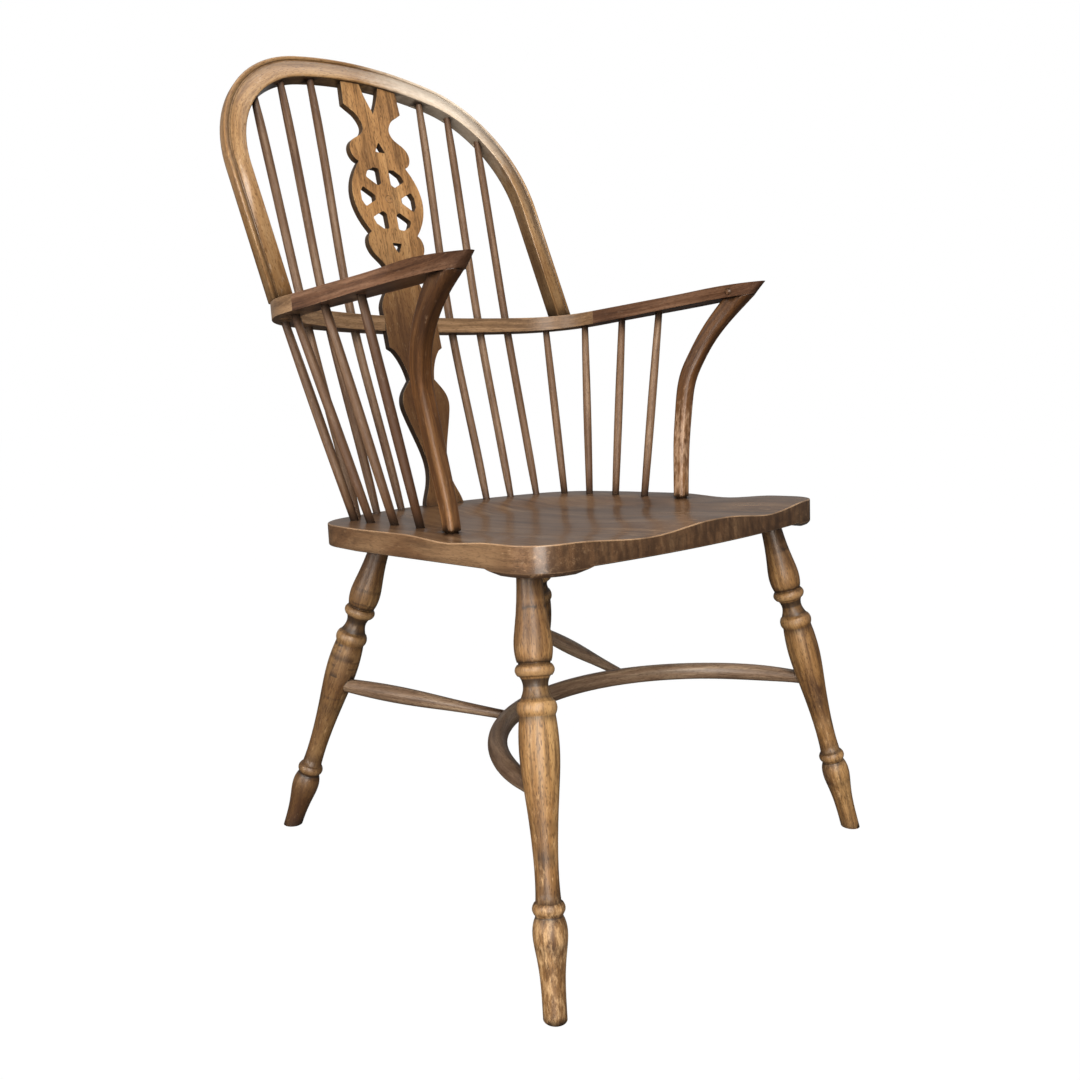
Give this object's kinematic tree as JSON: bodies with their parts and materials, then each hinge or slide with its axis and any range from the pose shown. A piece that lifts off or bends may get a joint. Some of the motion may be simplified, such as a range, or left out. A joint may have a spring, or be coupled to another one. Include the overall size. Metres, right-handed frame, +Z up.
{
  "type": "windsor armchair",
  "caption": "Wooden windsor armchair with a bent back hoop, a fretted splat, turned legs and a bowed stretcher, for sitting at a table.",
  "frame": {"origin": "on the floor, under the middle of the whole chair's box", "axes": "+Z up, +X to the sitter's left as the sitter faces -Y, -Y towards the front of the seat"},
  "size_m": [0.6154, 0.702, 1.0573],
  "materials": {
    "seat_elm": "worn, waxed elm with dark end grain",
    "leg_wood": "turned wood, worn and waxed",
    "stretcher_wood": "bent and turned wood, dark wax",
    "rail_wood": "bent wood, waxed",
    "support_wood": "bent wood, dark wax with light wear",
    "peg_wood": "pegs cut flush",
    "arm_wood": "sawn wood, reddish and polished by hands",
    "hoop_wood": "bent wood, golden and polished",
    "splat_wood": "sawn and fretted wood, waxed",
    "spindle_wood": "shaved wood, waxed"
  },
  "bodies": {
    "root": {"seat": "seat_elm", "front_left_leg": "leg_wood", "front_right_leg": "leg_wood", "rear_left_leg": "leg_wood", "rear_right_leg": "leg_wood", "bowed_stretcher": "stretcher_wood", "left_spur_stretcher": "stretcher_wood", "right_spur_stretcher": "stretcher_wood", "back_rail": "rail_wood", "left_arm": "arm_wood", "right_arm": "arm_wood", "left_arm_support": "support_wood", "right_arm_support": "support_wood", "support_pegs": "peg_wood", "back_hoop": "hoop_wood", "splat": "splat_wood", "left_long_spindle_1": "spindle_wood", "left_long_spindle_2": "spindle_wood", "left_long_spindle_3": "spindle_wood", "left_short_spindle_1": "spindle_wood", "left_short_spindle_2": "spindle_wood", "left_short_spindle_3": "spindle_wood", "left_short_spindle_4": "spindle_wood", "right_long_spindle_1": "spindle_wood", "right_long_spindle_2": "spindle_wood", "right_long_spindle_3": "spindle_wood", "right_short_spindle_1": "spindle_wood", "right_short_spindle_2": "spindle_wood", "right_short_spindle_3": "spindle_wood", "right_short_spindle_4": "spindle_wood"}
  },
  "joints": []
}
